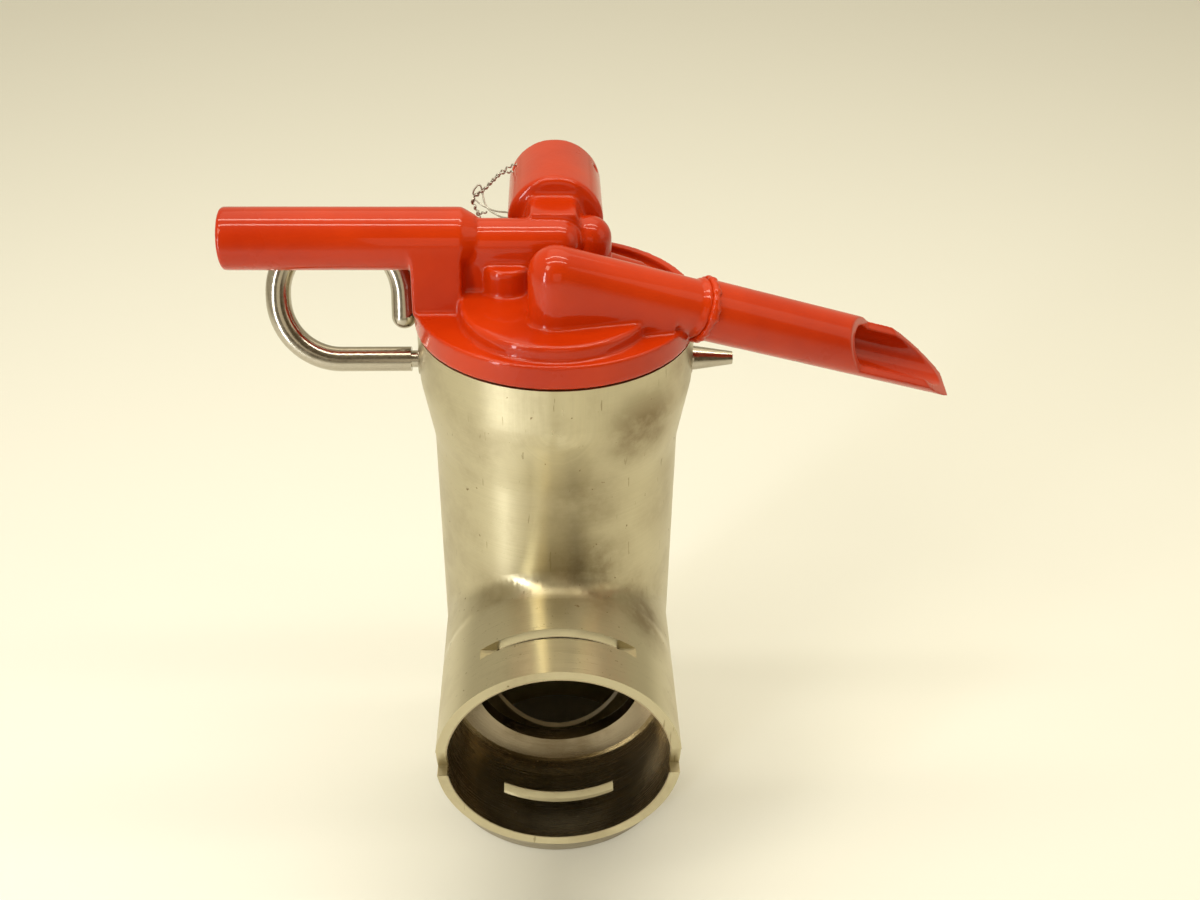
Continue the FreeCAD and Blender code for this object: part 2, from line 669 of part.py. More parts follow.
def spring_box(label, radius, wire, turns, length, at, rotation):
    """A round-wire compression spring, its ends one wire radius inside its length."""
    height = value_of(length) - 2 * value_of(wire)
    pitch = height / value_of(turns)
    path = Part.Wire(Part.makeHelix(pitch, height, value_of(radius)).Edges)
    start = path.Vertexes[0].Point
    section = Part.Wire(Part.Circle(start, Vector(0, 1, pitch / (2 * math.pi * value_of(radius))),
                                    value_of(wire)).toShape())
    item = doc.addObject("Part::Feature", label)
    item.Shape = path.makePipeShell([section], True, True)
    base = Vector(*[value_of(text) for text in at]) + rotation.multVec(Vector(0, 0, value_of(wire)))
    item.Placement = Placement(base, rotation)
    keep(item, label)


# ---------------------------------------------------------------- stem assembly

def make_stem():
    plug_bottom = "seat_top + plug_lift"
    seal_top = plug_bottom + " + plug_seal_thickness"
    plug_top = seal_top + " + plug_thickness"
    clamp = "ledge_height - 2"
    plate_bottom = clamp + " - plate_thickness"
    rod_bottom = plug_bottom + " - retainer_thickness - nut_thickness - 2"
    keep(turned("stem_body", [
        (0, rod_bottom), ("stem_radius - edge_bevel", rod_bottom), ("stem_radius - edge_bevel", seal_top),
        ("stem_radius", plug_top), ("stem_radius", plate_bottom),
        ("stem_radius - edge_bevel", plate_bottom),
        ("stem_radius - edge_bevel", clamp + " + thread_length"), (0, clamp + " + thread_length")]), "stem")
    keep(turned("plug_body", [
        ("stem_radius - edge_bevel", seal_top), ("plug_radius", seal_top),
        ("plug_radius", seal_top + " + 2.5"),
        ("stem_radius + 5", plug_top), ("stem_radius", plug_top)]), "plug_disc")
    keep(turned("plug_seal_body", [
        ("retainer_radius - seal_groove", plug_bottom), ("plug_radius - 0.5", plug_bottom),
        ("plug_radius", plug_bottom + " + edge_bevel"), ("plug_radius", seal_top),
        ("retainer_radius - seal_groove", seal_top)]),
        "plug_seal")
    keep(turned("retainer_body", [
        ("stem_radius - edge_bevel", plug_bottom + " - retainer_thickness"),
        ("retainer_radius - edge_bevel", plug_bottom + " - retainer_thickness"),
        ("retainer_radius", plug_bottom + " - edge_bevel"), ("retainer_radius", plug_bottom),
        ("retainer_radius - seal_groove", plug_bottom), ("retainer_radius - seal_groove", seal_top),
        ("stem_radius - edge_bevel", seal_top)]), "seal_retainer")
    low = plug_bottom + " - retainer_thickness - nut_thickness"
    keep(cut("plug_nut_body", prism("plug_nut_blank", 6, "nut_flat", "nut_thickness", (0, 0, low)),
             rod("plug_nut_hole", "stem_radius - edge_bevel", "nut_thickness", (0, 0, low))), "plug_nut")
    keep(turned("lower_plate_body", [
        ("stem_radius - edge_bevel", plate_bottom), ("plate_radius - edge_bevel", plate_bottom),
        ("plate_radius", plate_bottom + " + edge_bevel"), ("plate_radius", clamp + " - edge_bevel"),
        ("plate_radius - edge_bevel", clamp),
        ("stem_radius - edge_bevel", clamp)]), "lower_diaphragm_plate")
    high = clamp + " + diaphragm_thickness"
    keep(turned("upper_plate_body", [
        ("stem_radius - edge_bevel", high), ("plate_radius", high),
        ("plate_radius", high + " + plate_thickness - edge_bevel"),
        ("plate_radius - edge_bevel", high + " + plate_thickness"),
        ("stem_radius - edge_bevel", high + " + plate_thickness")]),
        "upper_diaphragm_plate")
    top = high + " + plate_thickness"
    keep(cut("stem_nut_body", prism("stem_nut_blank", 6, "nut_flat", "nut_thickness", (0, 0, top)),
             rod("stem_nut_hole", "stem_radius - edge_bevel", "nut_thickness", (0, 0, top))), "stem_nut")
    # The fold hangs below the clamped rim, so the offsets run down from the plate and up again.
    keep(turned("diaphragm_body", [
        ("stem_radius - edge_bevel", clamp), ("plate_radius + 0.5", clamp),
        ("plate_radius + 1.6", clamp + " - 4"),
        ("plate_radius + 4.5", clamp + " - 8"), ("plate_radius + 7", clamp + " - 6"),
        ("chamber_radius", "ledge_height - 1"), ("bore_radius", "ledge_height"),
        ("spigot_radius", "ledge_height"),
        ("spigot_radius", "ledge_height + diaphragm_thickness"),
        ("chamber_radius", "ledge_height + diaphragm_thickness"), ("plate_radius + 6", clamp + " - 3"),
        ("plate_radius + 4.5", clamp + " - 5"), ("plate_radius + 3.4", clamp + " - 3"),
        ("plate_radius + 2", high), ("stem_radius - edge_bevel", high)]), "diaphragm")
    spring_box("return_spring", "spring_radius", "spring_wire", "spring_turns",
               plate_bottom + " - spider_top", (0, 0, "spider_top"), TURNS["z"])


def make_spider():
    spider_height = "spider_top - spider_bottom"
    half_width = value_of("spider_arm_width") / 2
    arms = []
    for index in range(SPIDER_ARMS):
        arm = block("spider_arm_%d" % index, "bore_radius - 2", "spider_arm_width", spider_height)
        degrees = 90 + 360 / SPIDER_ARMS * index
        angle = math.radians(degrees)
        foot = Vector(half_width * math.sin(angle), -half_width * math.cos(angle),
                      value_of("spider_bottom"))
        arm.setExpression("Placement.Base.z", linked("spider_bottom"))
        arm.Placement = Placement(foot, Rotation(Vector(0, 0, 1), degrees))
        arms.append(arm)
    hoop = tube("spider_hoop", "bore_radius", "bore_radius - spider_hoop_width", spider_height,
                (0, 0, "spider_bottom"))
    hub = rod("spider_hub", "hub_radius", spider_height, (0, 0, "spider_bottom"))
    keep(cut("spider_body", fuse("spider_outside", hoop, hub, *arms),
             rod("spider_hole", "bush_radius", spider_height, (0, 0, "spider_bottom"))), "guide_spider")
    keep(tube("bush_body", "bush_radius", "stem_radius + running_gap", "%s + 2" % spider_height,
              (0, 0, "spider_bottom - 1")), "guide_bush")


# ---------------------------------------------------------------- locking pin

def make_lock_pin():
    upright = Rotation(Vector(1, 0, 0), 90)
    centre_x = "-(handle_leg + handle_free_leg) / 2"
    hook_radius = "(handle_leg - handle_free_leg) / 2"
    pieces = [
        rod("pin_shank", "pin_radius", "pin_groove_end + pin_end", ("-pin_groove_end", 0, 0), "x"),
        rod("pin_groove", "pin_groove_radius", "pin_shoulder - pin_groove_end + 2",
            ("-pin_shoulder - 1", 0, 0), "x"),
        taper("pin_point", "pin_radius", "pin_tip_radius", "pin_tip - pin_end", ("pin_end", 0, 0), "x"),
        rod("handle_run", "rod_radius", "handle_leg - handle_bend - pin_shoulder",
            ("-pin_shoulder", 0, 0), "-x"),
        ring_cord("handle_elbow", "handle_bend", "rod_radius",
                  ("handle_bend - handle_leg", 0, "handle_bend"),
                  upright.multiply(Rotation(Vector(0, 0, 1), 180)), 90),
        rod("handle_upright", "rod_radius", "handle_top_centre - handle_bend",
            ("-handle_leg", 0, "handle_bend")),
        ring_cord("handle_hook", hook_radius, "rod_radius",
                  (centre_x, 0, "handle_top_centre"), upright, 180),
        rod("handle_drop", "rod_radius", "handle_top_centre - handle_free_end",
            ("-handle_free_leg", 0, "handle_free_end")),
        ball("handle_end", "rod_radius", ("-handle_free_leg", 0, "handle_free_end")),
    ]
    pin = fuse("pin_joined", *pieces)
    place(pin, (0, 0, "pin_height"), Rotation(Vector(1, 0, 0), -value_of("pin_lean")))
    keep(pin, "lock_pin")
    keep(tube("snap_ring_body", "pin_radius - running_gap", "pin_groove_radius + running_gap",
              "snap_ring_width",
              ("-snap_ring_start", 0, "pin_height"), "x"), "pin_snap_ring")
    for side, sign in (("left", -1), ("right", 1)):
        reach = "spigot_bore_radius" if sign > 0 else "-sleeve_end"
        length = "collar_radius - spigot_bore_radius" if sign > 0 else "sleeve_end - spigot_bore_radius"
        keep(tube(side + "_sleeve", "sleeve_radius", "pin_radius + running_gap", length,
                  (reach, 0, "pin_height"), "x"), side + "_pin_sleeve")


# ---------------------------------------------------------------- seal wire

def make_lock_wire():
    """The seal wire, out of the housing's side hole, down in a loop and back to the housing's flank."""
    level = value_of("pilot_height")
    route = [Vector(across, back, level + above) for across, back, above in SEAL_WIRE_ROUTE]
    edges = []
    start = route[0]
    for index in range(1, len(route) - 1):
        into = route[index] - route[index - 1]
        away = route[index + 1] - route[index]
        turn = into.getAngle(away)
        trim = SEAL_WIRE_BEND * min(into.Length, away.Length)
        first = route[index] - Vector(into).normalize() * trim
        last = route[index] + Vector(away).normalize() * trim
        toward = (Vector(away).normalize() - Vector(into).normalize()).normalize()
        arc_radius = trim / math.tan(turn / 2)
        middle = route[index] + toward * (arc_radius / math.cos(turn / 2) - arc_radius)
        edges.append(Part.LineSegment(start, first).toShape())
        edges.append(Part.Arc(first, middle, last).toShape())
        start = last
    edges.append(Part.LineSegment(start, route[-1]).toShape())
    path = Part.Wire(edges)
    section = Part.Wire(Part.Circle(route[0], route[1] - route[0], value_of("wire_radius")).toShape())
    item = doc.addObject("Part::Feature", "lock_wire_path")
    item.Shape = path.makePipeShell([section], True, False)
    keep(item, "lock_wire")


# ---------------------------------------------------------------- build, test and write

make_valve_body()
make_rings()
make_bonnet()
make_bonnet_fittings()
make_pilot()
make_spider()
make_stem()
make_lock_pin()
make_lock_wire()
doc.recompute()

for item in doc.Objects:
    if "Invalid" in item.State or "Error" in item.State:
        raise RuntimeError("%s failed to compute: %s" % (item.Name, item.State))
for item in kept:
    shape = item.Shape
    if shape.isNull() or not shape.isValid():
        raise RuntimeError("%s has no valid shape" % item.Label)

os.makedirs("parts", exist_ok=True)
for item in kept:
    item.Shape.exportStep("parts/%s.step" % item.Label)
    print(item.Label, len(item.Shape.Solids), "solid", round(item.Shape.Volume / 1000, 2), "cm3")
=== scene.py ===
import json
import math
import random

import bpy
from mathutils import Matrix, Vector

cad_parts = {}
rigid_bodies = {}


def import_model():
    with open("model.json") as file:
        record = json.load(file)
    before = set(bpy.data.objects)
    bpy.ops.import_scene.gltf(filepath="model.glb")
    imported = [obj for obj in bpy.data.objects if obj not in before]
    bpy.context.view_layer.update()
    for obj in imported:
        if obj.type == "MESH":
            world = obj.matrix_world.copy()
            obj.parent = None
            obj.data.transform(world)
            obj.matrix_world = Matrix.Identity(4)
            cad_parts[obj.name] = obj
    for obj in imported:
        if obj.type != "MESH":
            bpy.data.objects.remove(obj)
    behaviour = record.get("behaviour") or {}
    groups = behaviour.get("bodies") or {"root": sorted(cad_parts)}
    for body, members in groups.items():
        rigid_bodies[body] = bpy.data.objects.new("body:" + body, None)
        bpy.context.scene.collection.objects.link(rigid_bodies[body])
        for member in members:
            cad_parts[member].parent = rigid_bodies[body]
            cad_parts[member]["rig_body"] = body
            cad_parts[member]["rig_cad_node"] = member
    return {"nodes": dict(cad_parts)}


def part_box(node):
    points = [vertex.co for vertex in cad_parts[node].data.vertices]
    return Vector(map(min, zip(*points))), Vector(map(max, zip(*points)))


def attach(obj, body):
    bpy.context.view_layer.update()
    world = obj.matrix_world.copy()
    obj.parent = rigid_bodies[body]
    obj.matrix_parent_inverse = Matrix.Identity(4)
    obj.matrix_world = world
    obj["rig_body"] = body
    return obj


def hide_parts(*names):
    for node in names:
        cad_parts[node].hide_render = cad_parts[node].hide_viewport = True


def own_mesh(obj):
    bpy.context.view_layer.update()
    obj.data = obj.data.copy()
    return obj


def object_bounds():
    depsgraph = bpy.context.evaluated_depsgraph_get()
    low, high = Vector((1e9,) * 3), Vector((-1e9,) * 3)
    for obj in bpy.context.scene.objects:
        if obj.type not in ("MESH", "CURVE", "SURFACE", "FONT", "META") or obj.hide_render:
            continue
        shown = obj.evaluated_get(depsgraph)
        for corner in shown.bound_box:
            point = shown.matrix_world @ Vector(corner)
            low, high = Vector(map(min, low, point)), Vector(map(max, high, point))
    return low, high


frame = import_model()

cad_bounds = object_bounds()
nodes = frame["nodes"]
random.seed(11)


# ---------------------------------------------------------------- materials

def new_material(name):
    material = bpy.data.materials.new(name)
    material.use_nodes = True
    tree = material.node_tree
    tree.nodes.clear()
    output = tree.nodes.new("ShaderNodeOutputMaterial")
    shader = tree.nodes.new("ShaderNodeBsdfPrincipled")
    tree.links.new(shader.outputs["BSDF"], output.inputs["Surface"])
    return material, tree, shader


def position(tree, scale=(1, 1, 1)):
    coords = tree.nodes.new("ShaderNodeTexCoord")
    mapping = tree.nodes.new("ShaderNodeMapping")
    mapping.inputs["Scale"].default_value = scale
    tree.links.new(coords.outputs["Object"], mapping.inputs["Vector"])
    return mapping.outputs["Vector"]


def noise(tree, scale, stretch=(1, 1, 1), detail=4.0, rough=0.55):
    item = tree.nodes.new("ShaderNodeTexNoise")
    item.inputs["Scale"].default_value = scale
    item.inputs["Detail"].default_value = detail
    item.inputs["Roughness"].default_value = rough
    tree.links.new(position(tree, stretch), item.inputs["Vector"])
    return item.outputs["Fac"]


def remap(tree, source, low, high, to_low=0.0, to_high=1.0):
    item = tree.nodes.new("ShaderNodeMapRange")
    item.inputs["From Min"].default_value = low
    item.inputs["From Max"].default_value = high
    item.inputs["To Min"].default_value = to_low
    item.inputs["To Max"].default_value = to_high
    tree.links.new(source, item.inputs["Value"])
    return item.outputs["Result"]


def mix_colour(tree, factor, first, second):
    item = tree.nodes.new("ShaderNodeMix")
    item.data_type = "RGBA"
    tree.links.new(factor, item.inputs["Factor"])
    for socket, value in (("A", first), ("B", second)):
        target = [s for s in item.inputs if s.name == socket and s.type == "RGBA"][0]
        if isinstance(value, tuple):
            target.default_value = (*value, 1)
        else:
            tree.links.new(value, target)
    return [s for s in item.outputs if s.type == "RGBA"][0]


def combine(tree, operation, first, second):
    item = tree.nodes.new("ShaderNodeMath")
    item.operation = operation
    for index, value in enumerate((first, second)):
        if isinstance(value, (int, float)):
            item.inputs[index].default_value = value
        else:
            tree.links.new(value, item.inputs[index])
    return item.outputs[0]


def squares(tree, first, second):
    """The sum of two values squared."""
    first_squared = combine(tree, "MULTIPLY", first, first)
    second_squared = combine(tree, "MULTIPLY", second, second)
    return combine(tree, "ADD", first_squared, second_squared)


def bump(tree, shader, height, distance, strength):
    item = tree.nodes.new("ShaderNodeBump")
    item.inputs["Distance"].default_value = distance
    item.inputs["Strength"].default_value = strength
    tree.links.new(height, item.inputs["Height"])
    tree.links.new(item.outputs["Normal"], shader.inputs["Normal"])


def metal(name, colour, stain, stretch, roughness, stain_amount):
    """Brushed metal. The stretch says which way the brushing lines are packed."""
    material, tree, shader = new_material(name)
    shader.inputs["Metallic"].default_value = 1.0
    lines = noise(tree, 1.0, stretch, 3.0)
    cloud = noise(tree, 28.0, detail=6.0, rough=0.65)
    spots = noise(tree, 95.0, detail=5.0, rough=0.7)
    smudge = combine(tree, "MULTIPLY", remap(tree, cloud, 0.50, 0.72), stain_amount)
    fleck = combine(tree, "MULTIPLY", remap(tree, spots, 0.63, 0.72), stain_amount * 0.7)
    dirt = combine(tree, "MAXIMUM", smudge, fleck)
    tone = mix_colour(tree, remap(tree, lines, 0.3, 0.7), tuple(c * LINE_SHADE for c in colour), colour)
    tree.links.new(mix_colour(tree, dirt, tone, stain), shader.inputs["Base Color"])
    rough = combine(tree, "ADD", remap(tree, lines, 0.3, 0.7, *roughness),
                    combine(tree, "MULTIPLY", dirt, 0.22))
    tree.links.new(rough, shader.inputs["Roughness"])
    bump(tree, shader, lines, LINE_DEPTH, 0.7)
    return material


def vector(tree, value):
    item = tree.nodes.new("ShaderNodeCombineXYZ")
    for socket, number in zip(item.inputs, value):
        socket.default_value = number
    return item.outputs["Vector"]


def blend(tree, factor, first, second):
    """First where the factor is 0, second where it is 1."""
    kept = combine(tree, "MULTIPLY", first, combine(tree, "SUBTRACT", 1.0, factor))
    return combine(tree, "ADD", kept, combine(tree, "MULTIPLY", second, factor))


def patch(tree, centre, radius):
    """1 at a point of the valve, fading to 0 at the radius."""
    item = tree.nodes.new("ShaderNodeVectorMath")
    item.operation = "DISTANCE"
    tree.links.new(position(tree), item.inputs[0])
    item.inputs[1].default_value = centre
    return remap(tree, item.outputs["Value"], radius, radius * 0.25)


def barrel_metal(name, colour, stain, inner):
    """The barrel casting: brushed round each of its two axes outside, dull as cast inside the bore, and
    darkened with painted shade inside the outlet's socket.
    """
    material, tree, shader = new_material(name)
    axes = tree.nodes.new("ShaderNodeSeparateXYZ")
    tree.links.new(position(tree), axes.inputs["Vector"])
    across, along = axes.outputs["X"], axes.outputs["Y"]
    above = combine(tree, "SUBTRACT", axes.outputs["Z"], OUTLET_HEIGHT)
    in_outlet = remap(tree, along, OUTLET_START, OUTLET_START - OUTLET_FADE)
    in_bore = combine(tree, "LESS_THAN", squares(tree, across, along), BORE_WALL ** 2)
    near_outlet_axis = combine(tree, "LESS_THAN", squares(tree, across, above), SOCKET_WALL ** 2)
    in_socket = combine(tree, "MULTIPLY", near_outlet_axis, in_outlet)
    lines = blend(tree, in_outlet, noise(tree, 1.0, ALONG_Z, 3.0), noise(tree, 1.0, ALONG_Y, 3.0))
    cloud = noise(tree, 26.0, detail=7.0, rough=0.68)
    dirt = combine(tree, "MULTIPLY", remap(tree, cloud, 0.48, 0.72), 0.34)
    for centre, radius, amount in STAIN_PATCHES:
        shape = combine(tree, "MULTIPLY", patch(tree, centre, radius), remap(tree, cloud, 0.36, 0.60))
        dirt = combine(tree, "MAXIMUM", dirt, combine(tree, "MULTIPLY", shape, amount))
    scratch = remap(tree, noise(tree, 1.0, SCRATCHES, 2.0), 0.705, 0.72, 0.0, 0.45)
    pits = remap(tree, noise(tree, 330.0, detail=3.0), 0.72, 0.735, 0.0, 0.8)
    dirt = combine(tree, "MAXIMUM", dirt, combine(tree, "MAXIMUM", scratch, pits))
    tone = mix_colour(tree, remap(tree, lines, 0.3, 0.7), tuple(c * LINE_SHADE for c in colour), colour)
    tone = mix_colour(tree, dirt, tone, stain)
    # Painted shade: inside the outlet's socket the colour goes three quarters of the way to a darker brown.
    tone = mix_colour(tree, combine(tree, "MULTIPLY", in_socket, 0.75), tone, SOCKET_PAINTED_SHADE)
    tree.links.new(mix_colour(tree, in_bore, tone, inner), shader.inputs["Base Color"])
    tree.links.new(remap(tree, in_bore, 0.0, 1.0, 1.0, 0.25), shader.inputs["Metallic"])
    rough = combine(tree, "ADD", remap(tree, lines, 0.3, 0.7, 0.27, 0.37),
                    combine(tree, "MULTIPLY", dirt, 0.18))
    rough = combine(tree, "SUBTRACT", rough, combine(tree, "MULTIPLY", in_socket, 0.08))
    tree.links.new(combine(tree, "MAXIMUM", rough, combine(tree, "MULTIPLY", in_bore, 0.6)),
                   shader.inputs["Roughness"])
    tree.links.new(remap(tree, in_socket, 0.0, 1.0, 0.8, 0.3), shader.inputs["Anisotropic"])
    spread = tree.nodes.new("ShaderNodeMix")
    spread.data_type = "VECTOR"
    tree.links.new(in_outlet, spread.inputs["Factor"])
    first, second = [s for s in spread.inputs if s.type == "VECTOR" and s.name in ("A", "B")][:2]
    tree.links.new(vector(tree, (0.02, 0.03, 1.0)), first)
    tree.links.new(vector(tree, (0.02, 1.0, 0.03)), second)
    tree.links.new([s for s in spread.outputs if s.type == "VECTOR"][0], shader.inputs["Tangent"])
    bump(tree, shader, lines, LINE_DEPTH, 0.6)
    return material


def paint(name, colour, deep):
    """Glossy paint over a casting: slow colour drift, orange peel, sand texture and small chips."""
    material, tree, shader = new_material(name)
    drift = noise(tree, 22.0, detail=5.0)
    base = mix_colour(tree, remap(tree, drift, 0.35, 0.68), deep, colour)
    chips = remap(tree, noise(tree, 210.0, detail=7.0, rough=0.75), 0.715, 0.735)
    tree.links.new(mix_colour(tree, chips, base, CHIP_BROWN), shader.inputs["Base Color"])
    rough = combine(tree, "ADD", remap(tree, drift, 0.3, 0.7, 0.24, 0.36),
                    combine(tree, "MULTIPLY", chips, 0.4))
    tree.links.new(rough, shader.inputs["Roughness"])
    shader.inputs["Specular IOR Level"].default_value = 0.06
    shader.inputs["Coat Weight"].default_value = 0.60
    shader.inputs["Coat Roughness"].default_value = 0.05
    sand = noise(tree, 620.0, detail=4.0, rough=0.6)
    peel = noise(tree, 120.0, detail=2.0)
    surface = combine(tree, "ADD", combine(tree, "MULTIPLY", sand, 0.4), peel)
    surface = combine(tree, "SUBTRACT", surface, combine(tree, "MULTIPLY", chips, 0.6))
    bump(tree, shader, surface, PAINT_DEPTH, 0.8)
    return material


def dull(name, colour, second, roughness, grain=300.0):
    """Rubber or plastic: two near tones, dust and a fine grain."""
    material, tree, shader = new_material(name)
    cloud = noise(tree, 40.0, detail=5.0)
    tree.links.new(mix_colour(tree, remap(tree, cloud, 0.35, 0.7), colour, second),
                   shader.inputs["Base Color"])
    tree.links.new(remap(tree, cloud, 0.3, 0.7, roughness - 0.08, roughness + 0.10),
                   shader.inputs["Roughness"])
    bump(tree, shader, noise(tree, grain), GRAIN_DEPTH, 0.6)
    return material


# How closely the noise is packed along X, Y and Z: brushing lines round each axis, and long scratches.
ALONG_Z = (40, 40, 5200)
ALONG_Y = (40, 5200, 40)
SCRATCHES = (620, 620, 75)
LINE_SHADE = 0.90
LINE_DEPTH = 0.00001
PAINT_DEPTH = 0.00010
GRAIN_DEPTH = 0.00008
STEEL = (0.59, 0.53, 0.36)
STAIN = (0.20, 0.135, 0.06)
# The darker brown painted into the outlet's socket as shade.
SOCKET_PAINTED_SHADE = (0.33, 0.27, 0.18)
CHIP_BROWN = (0.09, 0.035, 0.02)
# The barrel's looks change to the outlet's over this length, from the back of the stop ring forwards.
OUTLET_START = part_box("outlet_stop_ring")[1][1]
OUTLET_FADE = 0.006
OUTLET_HEIGHT = sum(corner[2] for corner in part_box("outlet_stop_ring")) / 2
# Closer to the barrel's axis, or to the outlet's, than this is inside and has the inner looks; inside the
# outlet's socket these include a painted shade.
BORE_WALL = 0.0429
SOCKET_WALL = 0.0410
# Brown patches: where, how far each spreads, and how strong it is.
STAIN_PATCHES = [
    ((0.030, -0.038, 0.206), 0.022, 0.75), ((0.008, -0.046, 0.176), 0.026, 0.45),
    ((0.012, -0.046, 0.148), 0.024, 0.70), ((0.034, -0.046, 0.128), 0.022, 0.70),
    ((-0.026, -0.044, 0.134), 0.018, 0.45), ((0.040, -0.022, 0.165), 0.022, 0.35),
]

stainless = barrel_metal("stainless", STEEL, STAIN, (0.80, 0.70, 0.52))
machined = metal("machined_steel", (0.50, 0.455, 0.37), STAIN, ALONG_Z, (0.20, 0.34), 0.45)
# The stop ring's machined steel, made darker with painted shade where it sits in the outlet.
stop_ring_shaded_steel = metal("stop_ring_steel_painted_shade", (0.36, 0.30, 0.21), STAIN, ALONG_Y, (0.14, 0.24), 0.5)
seat_steel = dull("seat_steel", (0.46, 0.39, 0.28), (0.38, 0.32, 0.22), 0.48)
rod_steel = metal("rod_steel", (0.50, 0.455, 0.38), STAIN, (900, 900, 900), (0.14, 0.24), 0.25)
spring_steel = metal("spring_steel", (0.45, 0.43, 0.40), STAIN, (700, 700, 700), (0.30, 0.45), 0.3)
wire_steel = metal("wire_steel", (0.50, 0.48, 0.44), STAIN, (1500, 1500, 1500), (0.30, 0.46), 0.3)
brass = metal("pilot_brass", (0.72, 0.52, 0.22), (0.28, 0.17, 0.07), ALONG_Y, (0.24, 0.38), 0.4)
red_paint = paint("red_paint", (0.58, 0.038, 0.0015), (0.45, 0.024, 0.0012))
seal_rubber = dull("seal_rubber", (0.11, 0.092, 0.064), (0.14, 0.118, 0.082), 0.55)
diaphragm_rubber = dull("diaphragm_rubber", (0.030, 0.026, 0.022), (0.055, 0.048, 0.040), 0.70, 900.0)
bush_plastic = dull("bush_plastic", (0.80, 0.77, 0.69), (0.70, 0.66, 0.57), 0.42)

LOOKS = {
    "valve_body": stainless, "inlet_base_ring": machined, "outlet_stop_ring": stop_ring_shaded_steel,
    "seat_ring": seat_steel, "seat_seal": seal_rubber, "bonnet": red_paint, "bonnet_gasket": seal_rubber,
    "spigot_o_ring": seal_rubber, "grip_plug": red_paint, "drain_spout": red_paint, "pilot_seat": brass,
    "pilot_piston": brass, "pilot_adjuster": brass, "pilot_spring": spring_steel, "guide_spider": machined,
    "guide_bush": bush_plastic, "stem": machined, "plug_disc": machined, "plug_seal": seal_rubber,
    "seal_retainer": machined, "plug_nut": machined, "lower_diaphragm_plate": machined,
    "upper_diaphragm_plate": machined, "stem_nut": machined, "diaphragm": diaphragm_rubber,
    "return_spring": spring_steel, "lock_pin": rod_steel, "pin_snap_ring": spring_steel,
    "left_pin_sleeve": machined, "right_pin_sleeve": machined, "lock_wire": wire_steel,
}
for name, node in nodes.items():
    node.data.materials.clear()
    node.data.materials.append(LOOKS[name])


# ---------------------------------------------------------------- cast and formed pieces

# Rounds of smoothing where a casting's steps run together.
MELT_ROUNDS = 45


def copy_of(source, name):
    """A free copy of a CAD node, in the CAD frame, to make a piece from."""
    item = nodes[source].copy()
    item.data = nodes[source].data.copy()
    item.name = name
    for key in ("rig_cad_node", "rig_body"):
        if key in item:
            del item[key]
    item.parent = None
    bpy.context.scene.collection.objects.link(item)
    item.matrix_world = Matrix.Identity(4)
    return item


def smoothed(item, factor, rounds, group=""):
    smooth = item.modifiers.new("smooth", "SMOOTH")
    smooth.factor = factor
    smooth.iterations = rounds
    smooth.vertex_group = group
    graph = bpy.context.evaluated_depsgraph_get()
    mesh = bpy.data.meshes.new_from_object(item.evaluated_get(graph))
    item.modifiers.clear()
    item.data = mesh
    return mesh


def softened(source, name, voxel, rounds, body, melted=()):
    """A copy of a CAD node with its corners rounded as a painted casting's are.

    Melted lists boxes, low and high corner, inside which the corners run together further.
    """
    item = copy_of(source, name)
    remesh = item.modifiers.new("remesh", "REMESH")
    remesh.mode = "VOXEL"
    remesh.voxel_size = voxel
    remesh.use_smooth_shade = True
    mesh = smoothed(item, 0.5, rounds)
    if melted:
        inside = [vertex.index for vertex in mesh.vertices if any(
            all(low[i] < vertex.co[i] < high[i] for i in range(3)) for low, high in melted)]
        item.vertex_groups.new(name="melted").add(inside, 1.0, "REPLACE")
        mesh = smoothed(item, 0.5, MELT_ROUNDS, "melted")
        item.vertex_groups.clear()
    mesh.name = name
    mesh.materials.clear()
    mesh.materials.append(LOOKS[source])
    for polygon in mesh.polygons:
        polygon.use_smooth = True
    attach(item, body)
    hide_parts(source)
    return item


# The pilot's neck, whose steps run together, ends this far in front of the pilot's seat.
NECK_FROM_SEAT = 0.0075
neck_low = (-0.024, 0.0088, 0.2392)
neck_high = (0.020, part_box("pilot_seat")[0][1] - NECK_FROM_SEAT, 0.2720)
softened("bonnet", "bonnet_casting", voxel=0.00065, rounds=9, body="housing",
         melted=[(neck_low, neck_high)])
softened("drain_spout", "spout_tube", voxel=0.00042, rounds=6, body="housing")


FULL_TURN = 6.28
END_DEPTH = 0.0002
BEAD_LIFT = 0.0002


def bead(name, source, axis, cord, material, body):
    """A lumpy ring of thick paint where a tube meets its arm."""
    points = [nodes[source].matrix_world @ vertex.co for vertex in nodes[source].data.vertices]
    first = min(point.dot(axis) for point in points)
    root = [point for point in points if point.dot(axis) < first + END_DEPTH]
    middle = sum(root, Vector()) / len(root)
    radius = max((point - middle).length for point in root) + BEAD_LIFT
    side = axis.cross(Vector((0, 0, 1))).normalized()
    over = axis.cross(side).normalized()
    waves = [(count, random.uniform(0.05, 0.15), random.uniform(0, FULL_TURN)) for count in (3, 5, 8, 13, 21)]
    steps, rim = 160, 16
    corners, faces = [], []
    for step in range(steps):
        angle = 2 * math.pi * step / steps
        swell = sum(size * math.sin(count * angle + phase) for count, size, phase in waves)
        out = side * math.cos(angle) + over * math.sin(angle)
        for index in range(rim):
            round_angle = 2 * math.pi * index / rim
            reach = cord * (1 + swell)
            corners.append(middle + out * (radius + reach * 0.75 * math.cos(round_angle))
                           + axis * (reach * math.sin(round_angle) + cord * 0.4 * swell))
            following, beside = (step + 1) % steps, (index + 1) % rim
            faces.append((step * rim + index, step * rim + beside, following * rim + beside,
                          following * rim + index))
    mesh = bpy.data.meshes.new(name)
    mesh.from_pydata(corners, [], faces)
    for polygon in mesh.polygons:
        polygon.use_smooth = True
    mesh.materials.append(material)
    item = bpy.data.objects.new(name, mesh)
    bpy.context.scene.collection.objects.link(item)
    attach(item, body)
    return item


